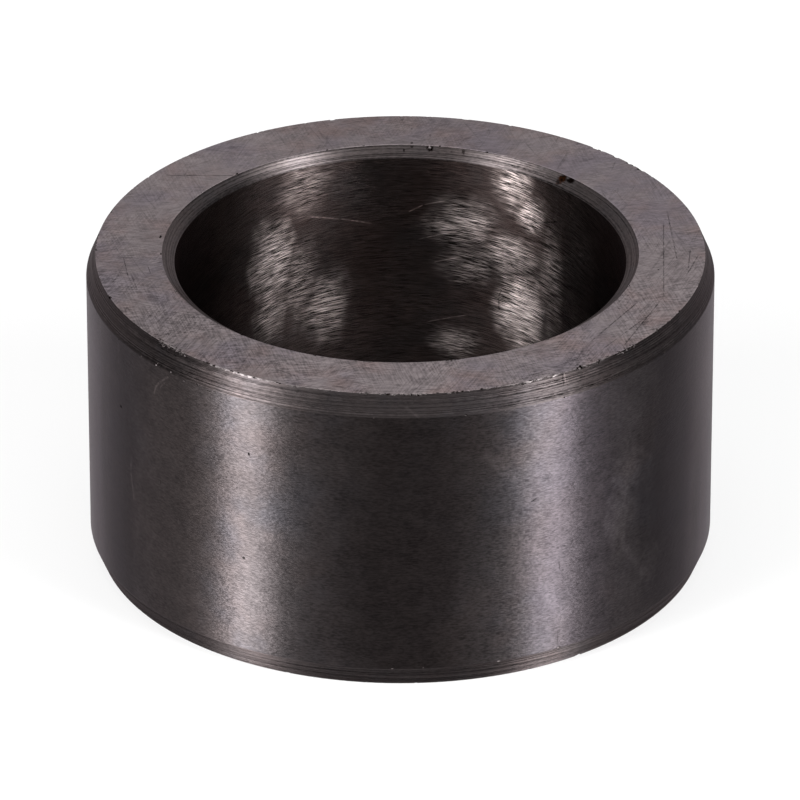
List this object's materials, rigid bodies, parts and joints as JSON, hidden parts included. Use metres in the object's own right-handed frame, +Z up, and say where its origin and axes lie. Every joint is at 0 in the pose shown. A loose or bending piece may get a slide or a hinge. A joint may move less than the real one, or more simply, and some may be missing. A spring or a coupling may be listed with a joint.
{
  "type": "spacer sleeve",
  "caption": "Thick-walled steel spacer sleeve with a plain round bore, tapered lead-ins on both outer ends and chamfered bore mouths.",
  "frame": {"origin": "centre of the bore in the plane of the lower end face, on which the sleeve stands", "axes": "+Z up along the bore's axis; X and Y across the sleeve, which is the same all round, with -Y towards the picture's viewer"},
  "size_m": [0.07, 0.07, 0.036],
  "materials": {
    "ground_steel": "dark hardened steel, ground round the outside, honed in the bore, turned on the tapers, oily, with rust specks, nicks and scratches"
  },
  "bodies": {
    "root": {"sleeve": "ground_steel"}
  },
  "joints": []
}
